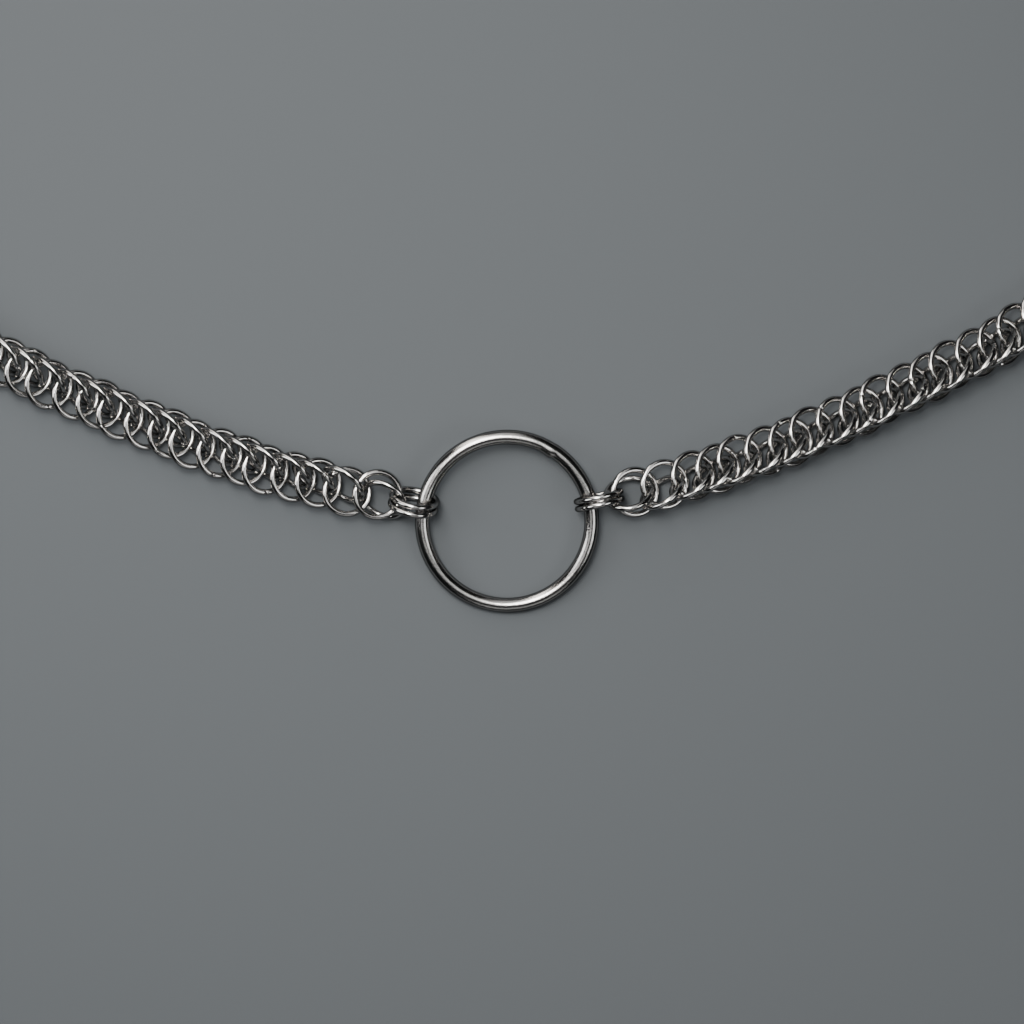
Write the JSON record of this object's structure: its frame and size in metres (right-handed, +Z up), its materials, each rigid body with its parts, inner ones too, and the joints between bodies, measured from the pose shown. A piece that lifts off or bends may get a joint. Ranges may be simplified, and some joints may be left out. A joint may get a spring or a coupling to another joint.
{
  "type": "chainmail necklace",
  "caption": "Woven chainmail necklace in steel rings, laid flat as a closed loop, with a plain O-ring in front and a plain clasp at the back.",
  "frame": {"origin": "bottom centre of the whole necklace as it lies", "axes": "+X towards the right with the O-ring nearest the viewer, +Y from the O-ring to the clasp, +Z up from the ground it lies on"},
  "size_m": [0.229, 0.135, 0.0084],
  "materials": {
    "link_steel": "polished stainless steel",
    "ring_steel": "polished stainless steel",
    "clasp_steel": "polished stainless steel"
  },
  "bodies": {
    "root": {"o_ring": "ring_steel", "chain_left": "link_steel", "chain_right": "link_steel", "hitch_ring_left_1": "link_steel", "hitch_ring_left_2": "link_steel", "hitch_ring_right_1": "link_steel", "hitch_ring_right_2": "link_steel", "clasp_ring_left": "link_steel", "clasp_ring_right": "link_steel", "clasp": "clasp_steel"}
  },
  "joints": []
}
